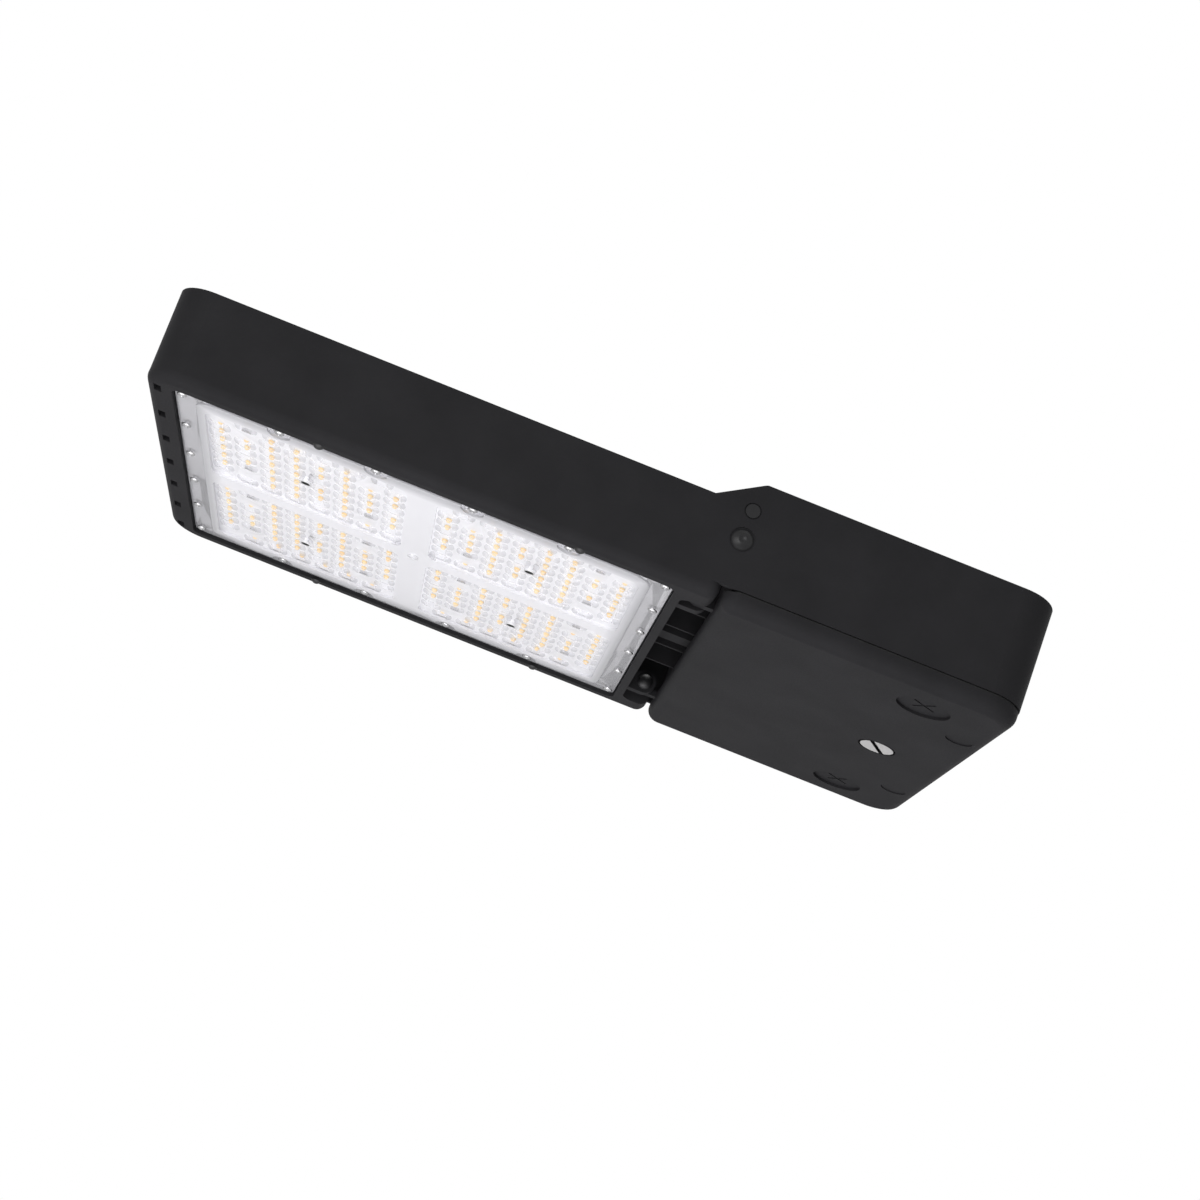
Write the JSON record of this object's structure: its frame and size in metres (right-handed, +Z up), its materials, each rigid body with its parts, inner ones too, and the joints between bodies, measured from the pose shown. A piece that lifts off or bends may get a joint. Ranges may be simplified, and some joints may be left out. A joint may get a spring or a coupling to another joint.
{
  "type": "led flood light",
  "caption": "Flat rectangular LED flood light for a pole: finned head with a clear lens plate, and a driver box with a hinged, latched door.",
  "frame": {"origin": "middle of the bolt pattern on the rear mounting face", "axes": "+X from the mounting face to the light end, +Z up, light shines along -Z, +Y to the side with the plugs"},
  "size_m": [0.5995, 0.3373, 0.0876],
  "materials": {
    "black_coat": "fine matte powder coat",
    "clear_lens": "clear moulded polycarbonate",
    "grey_seal": "matte",
    "black_seal": "matte",
    "white_board": "white solder mask",
    "zinc": "zinc plated",
    "green_screw": "green passivated",
    "dark_screw": "black oxide",
    "bright_steel": "turned steel",
    "driver_case": "extruded, matte",
    "device_plastic": "moulded",
    "pale_plastic": "moulded",
    "red_wire": "wire sleeve",
    "black_wire": "wire sleeve",
    "plug_black": "moulded"
  },
  "bodies": {
    "fixture": {"housing": "black_coat", "lens_plate": "clear_lens", "lens_gasket": "grey_seal", "wire_grommet": "black_seal", "led_board_near_front": "white_board", "led_board_near_rear": "white_board", "led_board_far_front": "white_board", "led_board_far_rear": "white_board", "lens_screws": "zinc", "board_screws": "zinc", "driver_screws": "zinc", "device_screws": "zinc", "ground_screw": "green_screw", "clamp_screws": "dark_screw", "rim_screws": "dark_screw", "hinge_pin_near": "dark_screw", "hinge_pin_far": "dark_screw", "led_driver": "driver_case", "surge_protector": "device_plastic", "terminal_block": "pale_plastic", "led_lead_red": "red_wire", "led_lead_black": "black_wire", "lead_joint": "pale_plastic", "side_plug_large": "plug_black", "side_plug_small": "plug_black"},
    "door": {"driver_door": "black_coat", "door_gasket": "black_seal"},
    "latch": {"latch_stud": "bright_steel", "latch_cam": "zinc", "latch_nut": "zinc", "latch_clip": "zinc"}
  },
  "joints": [
    {"name": "door_hinge", "type": "hinge", "parent": "fixture", "child": "door", "pos_m": [0.218, 0, -0.042], "axis": [0, -1, 0], "range_deg": [0, 85]},
    {"name": "latch_turn", "type": "hinge", "parent": "door", "child": "latch", "pos_m": [0.056, 0, -0.05], "axis": [0, 0, 1], "range_deg": [0, 90]}
  ]
}
